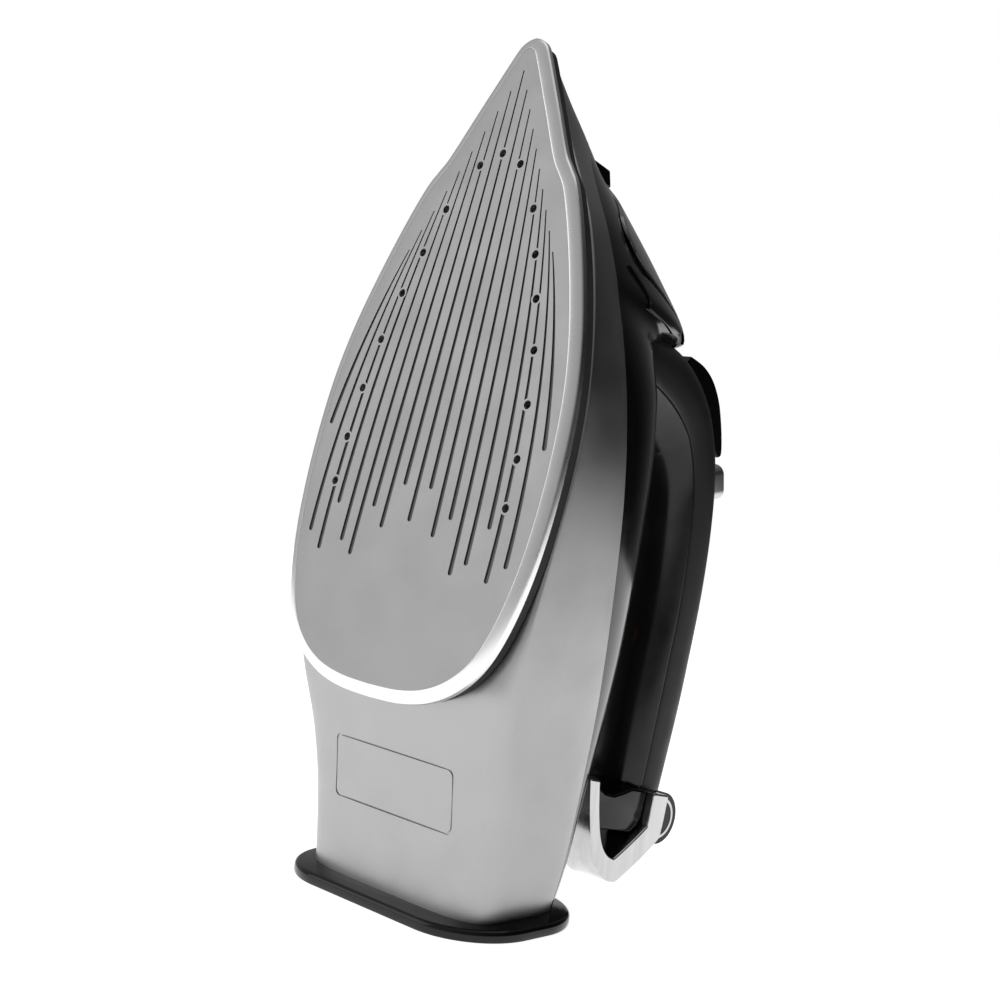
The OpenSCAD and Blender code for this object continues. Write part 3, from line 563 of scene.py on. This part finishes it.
def make_soleplate():
    profile = [(RIM_W - 0.4, SOLE_T), (RIM_W, SOLE_T - 0.3), (RIM_W, RIM_DROP + 0.5),
               (RIM_W - 0.15, RIM_DROP + 0.15), (RIM_W - 0.6, RIM_DROP - 0.25),
               (0.9, 0.16), (0.4, 0.04), (-0.2, 0)]
    rings = [np.column_stack([widened(FACE_LINE, d), np.full(len(FACE_LINE), z)])
             for d, z in profile]
    sole = loft("soleplate_look", rings, LOOK["sole"])
    cutter = joined([prism("groove", groove_outline(i, side), -1, GROOVE_DEPTH)
                     for i in range(GROOVE_PAIRS + 1) for side in ((1,) if i == 0 else (1, -1))])
    pads = joined([prism("pad", circle(p, HOLE_R + 0.7), -2, 2) for p in hole_places()])
    combine(cutter, pads)
    combine(sole, cutter)
    combine(sole, joined([prism("hole", circle(p, HOLE_R), -2, SOLE_T + 2)
                          for p in hole_places()]))
    sole.data.materials.clear()
    for look in ("sole", "rim", "groove"):
        sole.data.materials.append(LOOK[look])
    s, c = math.sin(LEAN), math.cos(LEAN)
    normal = Vector((0, -c, s))
    # The ironing face takes the sole metal. Groove floors and walls take the darker copy, painted
    # shade. All other faces, the rim among them, take the lighter copy, a painted highlight.
    for face in sole.data.polygons:
        h = (face.center.y * 1000 + FACE_BACK) * c - face.center.z * 1000 * s
        facing = face.normal.dot(normal)
        if facing > 0.995:
            face.material_index = 0 if h < 0.1 else 2
        elif abs(facing) < 0.2 and h < GROOVE_DEPTH + 0.05:
            face.material_index = 2
        else:
            face.material_index = 1
    return stands_for(softened(sole, 30), "soleplate", "iron")


# ---- housing ----

def sole_opening(d, end):
    """Prism of the opening above the soleplate, drawn in by d and ended at v = end."""
    line = widened(FACE_LINE, -d)
    line = line[line[:, 1] < end]
    return prism("cutter", line, -1, 19)


def heel_cutter():
    return box_cutter((-150, -150, -60), (150, 150, PLATE_T), metres)


def plate_frame_line():
    """Engraved rounded rectangle on the heel's sole side, as a closed tube that cuts it."""
    s, c = math.sin(LEAN), math.cos(LEAN)
    rings = []
    for half, depth in ((0.3, -0.5), (0.3, 0.35), (-0.3, 0.35), (-0.3, -0.5)):
        line = rounded(57 + 2 * half, 21.3 + 2 * half, 2.2, 8)
        ring = []
        for x, z in line:
            z += 41.15
            v = z / c
            for _ in range(12):
                mid, low, w = (float(curve(t, v)) for t in (BODY_MID, BODY_LOW, BODY_W))
                h = mid - (mid - low) * (1 - (abs(x) / w) ** LOW_N) ** (1 / LOW_N)
                v = (z + h * s) / c
            ring.append((x, v, h + depth))
        rings.append(ring)
    rings = np.array(rings)
    k, m = rings.shape[:2]
    faces = [[i * m + j, i * m + (j + 1) % m, (i + 1) % k * m + (j + 1) % m, (i + 1) % k * m + j]
             for i in range(k) for j in range(m)]
    return mesh_object("cutter", to_row(rings.reshape(-1, 3)), faces)


def make_lower_housing():
    steps = 96

    def line(v, d):
        a = body_angle(v, curve(SPLIT, v))
        return body_point(v, arc_angles(a, -math.pi - a, steps), d)
    stations = fine_stations(SPLIT_END)
    shell = skin("lower_housing_look", [line(v, 0) for v in stations],
                 [line(v, WALL) for v in stations], LOOK["skirt"])
    tip = np.concatenate([[SPLIT_END], np.arange(277, 296, 1.5), [296.5]])
    ring = np.arange(96) * 2 * math.pi / 96
    nose = loft("nose", [body_point(v, ring, 0) for v in tip])
    combine(shell, nose, "UNION")
    combine(shell, sole_opening(4.5, 280))
    combine(shell, heel_cutter())
    combine(shell, plate_frame_line())
    return stands_for(softened(shell, 28), "lower_housing", "iron")


def make_upper_housing():
    steps = 96

    def line(v, d):
        a = body_angle(v, curve(SPLIT, v) + 0.15)
        return body_point(v, arc_angles(a, math.pi - a, steps), d)
    stations = np.concatenate([fine_stations(273), [SPLIT_END - 0.6]])
    shell = skin("upper_housing_look", [line(v, 0) for v in stations],
                 [line(v, WALL) for v in stations], LOOK["gloss"])
    combine(shell, heel_cutter())
    combine(shell, prism("cutter", circle((0, DIAL_V), 3.5), 60, 120))
    combine(shell, box_cutter((-15, 196, 60), (15, 222.8, 120)))
    combine(shell, box_cutter((-7.4, -6, -12), (7.4, 14.4, 8), placed_at(*LID_AT, LID_TILT)))
    return stands_for(softened(shell, 28), "upper_housing", "iron")


def nose_strip(name, v0, v1, start, stop, a, b, material):
    """Strip of the nose between two stations, from height a to b above the housing.

    The tables start and stop hold its edges' angles from the ridge.
    """
    def line(v, d):
        return body_point(v, np.radians(90 + arc_angles(curve(start, v), curve(stop, v), 48)), d)
    stations = v0 + (v1 - v0) * np.arange(41) / 40
    return skin(name, [line(v, -b) for v in stations], [line(v, -a) for v in stations], material)


def hood_skin(name):
    left = [(v, -angle) for v, angle in HOOD_SPREAD]
    return nose_strip(name, 224.5, 266, left, HOOD_SPREAD, 0.15, 1.7, LOOK["hood"])


def lid_window(g, past):
    return box_cutter((-7 - g, -9 - g, -4), (7 + g, 10 + past, 5), placed_at(*LID_AT, LID_TILT))


def make_nose():
    hood = bevelled(hood_skin("nose_hood_look"), 0.35)
    combine(hood, lid_window(0.4, 4.8))
    stands_for(softened(hood), "nose_hood", "iron")
    lid = hood_skin("fill_lid_look")
    combine(lid, lid_window(0, 0), "INTERSECT")
    bevelled(lid, 0.25, 2, 50)
    knuckle_place = placed_at(*LID_AT, LID_TILT)

    def place(p):
        return knuckle_place(np.column_stack([p[:, 2], 11.4 + p[:, 0], 1.4 + p[:, 1]]))
    knuckle = lathe("fill_lid_knuckle", [(1.6, -4), (2, -3.6), (2, 3.6), (1.6, 4)], place, 32,
                    LOOK["hood"])
    softened(knuckle)
    stands_for(softened(lid), "fill_lid", "lid")
    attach(knuckle, "lid")
    inner = [(221, 40), (226, 38), (231, 60)]
    outer = [(221, 62), (226, 66), (231, 72)]
    right = nose_strip("nose_inlays_look", 221, 231, inner, outer, 0.1, 1.1, LOOK["gloss"])
    left = nose_strip("other", 221, 231, [(v, -a) for v, a in outer], [(v, -a) for v, a in inner],
                      0.1, 1.1, LOOK["gloss"])
    combine(right, left, "UNION")
    stands_for(softened(bevelled(right, 0.2, 2, 50)), "nose_inlays", "iron")
    wedge = slab("spray_nozzle_look", [(266.2, 36), (266.2, 51.5), (271.8, 49), (272.6, 36)], 9, 0,
                 LOOK["gloss"])
    bevelled(wedge, 0.6, 3, 30)
    combine(wedge, body_cutter())
    bore = placed_at(262, 45, math.pi / 2)
    combine(wedge, prism("bore", circle((0, 0), 1), 0, 20, None, bore))
    stands_for(softened(wedge), "spray_nozzle", "iron")


# ---- handle ----


def handle_rings(d, angles):
    line = smooth(HANDLE, 8)
    t = np.gradient(line[:, :2], axis=0)
    t /= np.linalg.norm(t, axis=1)[:, None]
    out = []
    for (v, h, thick, wide), (tv, th) in zip(line, t):
        n = (thick - d) * power(np.sin(angles), 2 / HANDLE_N)
        x = (wide - d) * power(np.cos(angles), 2 / HANDLE_N)
        out.append(np.column_stack([x, v - th * n, h + tv * n]))
    return out


def body_cutter():
    ring = np.arange(96) * 2 * math.pi / 96
    stations = np.concatenate([fine_stations(273), [SPLIT_END, 285, 296]])
    return loft("cutter", [body_point(v, ring, -0.05) for v in stations])


def handle_part(name, a0, a1, steps, material):
    angles = np.radians(arc_angles(a0, a1, steps))
    part = skin(name, handle_rings(0, angles), handle_rings(GRIP_WALL, angles), material)
    bevelled(part, 0.35, 2, 60)
    return combine(part, body_cutter())


def button_line():
    return np.concatenate([[BUTTON[0]], smooth(BUTTON[1:9], 6), BUTTON[9:]])


def pocket_cutter(drop):
    line = np.array([(v, h - drop) for v, h in button_line()])
    return slab("cutter", widened(line[::-1], 0.5)[::-1], POCKET_WIDTH)


def make_handle():
    shell = handle_part("handle_shell_look", -SEAM_A, 180 + SEAM_A, 72, LOOK["satin"])
    combine(shell, pocket_cutter(0))
    combine(shell, pocket_cutter(PUSH_TRAVEL + 1))
    combine(shell, box_cutter((-4.5, -SLIDER_TRAVEL - 4.5, -12), (4.5, 4.5, 18),
                              placed_at(*SLIDER_AT, SLIDER_TILT)))
    stands_for(softened(shell), "handle_shell", "iron")
    grip = handle_part("handle_grip_look", 180 + SEAM_A, 360 - SEAM_A, 48, LOOK["grip"])
    stands_for(softened(grip), "handle_grip", "iron")


def make_controls():
    for side, node in ((-1, "steam_button"), (1, "spray_button")):
        button = slab(node + "_look", button_line(), BUTTON_WIDTH, side * BUTTON_X, LOOK["gloss"])
        bevelled(button, 1.2, 5, 30)
        stands_for(softened(button), node, node)
    place = placed_at(*SLIDER_AT, SLIDER_TILT)
    outline = rounded(15, 14, 4)
    knob = loft("steam_slider_look", [
        np.column_stack([outline * share, np.full(len(outline), z)])
        for share, z in KNOB_RINGS], LOOK["knob"], place)
    stem = box_cutter((-4, -4, -8), (4, 4, 5), place)
    combine(knob, stem, "UNION")
    stands_for(softened(knob), "steam_slider", "slider")
    dial_place = placed_at(DIAL_V, DIAL_Z)
    turns = 240
    a = np.arange(turns) * 2 * math.pi / turns
    rings = []
    for r, z, ridge in DIAL_RINGS:
        radius = r - ridge * (0.5 + 0.5 * np.cos(30 * a))
        rings.append(np.column_stack([radius * np.cos(a), radius * np.sin(a), np.full(turns, z)]))
    dial = loft("temperature_dial_look", rings, LOOK["gloss"], dial_place)
    stands_for(softened(dial), "temperature_dial", "dial")


# ---- heel ----


def make_heel():
    line = rounded(PLATE_W, PLATE_D, PLATE_R, 24)
    profile = [(0.8, 0), (0.25, 0.25), (0, 0.8), (0, PLATE_T - 1.4), (0.3, PLATE_T - 0.7),
               (0.9, PLATE_T - 0.2), (1.6, PLATE_T)]
    rings = [np.column_stack([widened(line, -d), np.full(len(line), z)]) for d, z in profile]
    plate = loft("heel_plate_look", rings, LOOK["gloss"], metres)
    inner = rounded(66, 34, 12) + (0, 2)
    combine(plate, prism("boss", inner, PLATE_T - 1, PLATE_T + 3, None, metres), "UNION")
    for side in (-1, 1):
        for radius, top in ((SCREW_HOLE_R, 20), (SCREW_HEAD_R, 2)):
            hole = circle((side * SCREW_X, 2), radius)
            combine(plate, prism("cutter", hole, -1, top, None, metres))
    stands_for(softened(plate), "heel_plate", "iron")
    outline = np.concatenate([smooth(LEG_OUTER, 6), smooth(LEG_INNER, 6)])
    for side, node in ((-1, "heel_leg_right"), (1, "heel_leg_left")):
        leg = slab(node + "_look", outline, LEG_WIDTH, side * LEG_X, LOOK["chrome"])
        stands_for(softened(bevelled(leg, 0.8, 3, 40)), node, "iron")
    make_rear_bridge()


def make_rear_bridge():
    bridge = slab("rear_bridge_look", BRIDGE_LOBE, BRIDGE_WIDTH, 0, LOOK["gloss"])
    bevelled(bridge, 1.2, 4, 30)
    combine(bridge, slab("middle", BRIDGE_MIDDLE, BRIDGE_MIDDLE_WIDTH), "UNION")
    combine(bridge, body_cutter())
    angles = np.arange(72) * 2 * math.pi / 72
    combine(bridge, loft("handle", handle_rings(-0.05, angles)))
    combine(bridge, prism("wires", circle((0, WIRE_V), WIRE_HOLE_R), 60, 140))
    combine(bridge, box_cutter((-WIRE_HOLE_R, WIRE_V, 126), (WIRE_HOLE_R, WIRE_V + 12, 142)))
    stands_for(softened(bridge), "rear_bridge", "iron")


# ---- stage ----


def make_camera():
    azimuth, pitch, roll = math.radians(43.45), math.radians(2.74), math.radians(6.585)
    back = Vector((math.sin(azimuth) * math.cos(pitch), -math.cos(azimuth) * math.cos(pitch),
                   math.sin(pitch)))
    right = Vector((math.cos(azimuth), math.sin(azimuth), 0))
    up = back.cross(right)
    right, up = (math.cos(roll) * right + math.sin(roll) * up,
                 math.cos(roll) * up - math.sin(roll) * right)
    data = bpy.data.cameras.new("camera")
    data.sensor_width = 36
    data.lens = 58.9
    data.clip_start = 0.01
    camera = bpy.data.objects.new("camera", data)
    turn = Matrix((right, up, back)).transposed().to_4x4()
    camera.matrix_world = Matrix.Translation((0.38955, -0.39814, 0.16475)) @ turn
    bpy.context.scene.collection.objects.link(camera)
    bpy.context.scene.camera = camera


def area_light(name, at, aim, size, power_w):
    data = bpy.data.lights.new(name, "AREA")
    data.shape = "RECTANGLE"
    data.size, data.size_y = size
    data.energy = power_w
    light = bpy.data.objects.new(name, data)
    light.location = at
    light.rotation_euler = (Vector(at) - Vector(aim)).to_track_quat("Z", "Y").to_euler()
    bpy.context.scene.collection.objects.link(light)


def make_room():
    """White for the camera; for the iron, light at the left and in front, dark at the right."""
    world = bpy.data.worlds.new("studio")
    world.use_nodes = True
    bpy.context.scene.world = world
    nodes, links = world.node_tree.nodes, world.node_tree.links
    side = nodes.new("ShaderNodeVectorMath")
    side.operation = "DOT_PRODUCT"
    side.inputs[1].default_value = (-0.75, -0.6, 0.25)
    links.new(nodes.new("ShaderNodeTexCoord").outputs["Generated"], side.inputs[0])
    fade = nodes.new("ShaderNodeMapRange")
    for socket, value in zip(("From Min", "From Max", "To Min", "To Max"), (-0.7, 0.7, 0.01, 0.4)):
        fade.inputs[socket].default_value = value
    links.new(side.outputs["Value"], fade.inputs["Value"])
    room = nodes["Background"]
    room.inputs["Color"].default_value = (1, 1, 1, 1)
    links.new(fade.outputs["Result"], room.inputs["Strength"])
    backdrop = nodes.new("ShaderNodeBackground")
    backdrop.inputs["Strength"].default_value = 1.0
    backdrop.inputs["Color"].default_value = (1, 1, 1, 1)
    mix = nodes.new("ShaderNodeMixShader")
    links.new(nodes.new("ShaderNodeLightPath").outputs["Is Camera Ray"], mix.inputs["Fac"])
    links.new(room.outputs[0], mix.inputs[1])
    links.new(backdrop.outputs[0], mix.inputs[2])
    links.new(mix.outputs[0], nodes["World Output"].inputs["Surface"])


def make_studio():
    floor = mesh_object("floor", [(-1, -1, 0), (1, -1, 0), (1, 1, 0), (-1, 1, 0)], [[0, 1, 2, 3]])
    s = Surface("floor_paper", Emission_Color=(1, 1, 1, 1), Emission_Strength=0.9)
    s.tones(s.noise(30, 3), grey(0.9), grey(0.92))
    s.roughness(s.noise(90, 3), 0.7, 0.8)
    floor.data.materials.append(s.material)
    make_room()
    middle = (0, 0, 0.15)
    area_light("key_left", (-0.9, -1.1, 0.7), middle, (1.0, 1.2), 4.2)
    area_light("top", (0.1, 0.2, 1.5), middle, (1.2, 1.2), 2.5)


dress_cad_nodes()
make_soleplate()
make_lower_housing()
make_upper_housing()
make_nose()
make_handle()
make_controls()
make_heel()
make_camera()
make_studio()
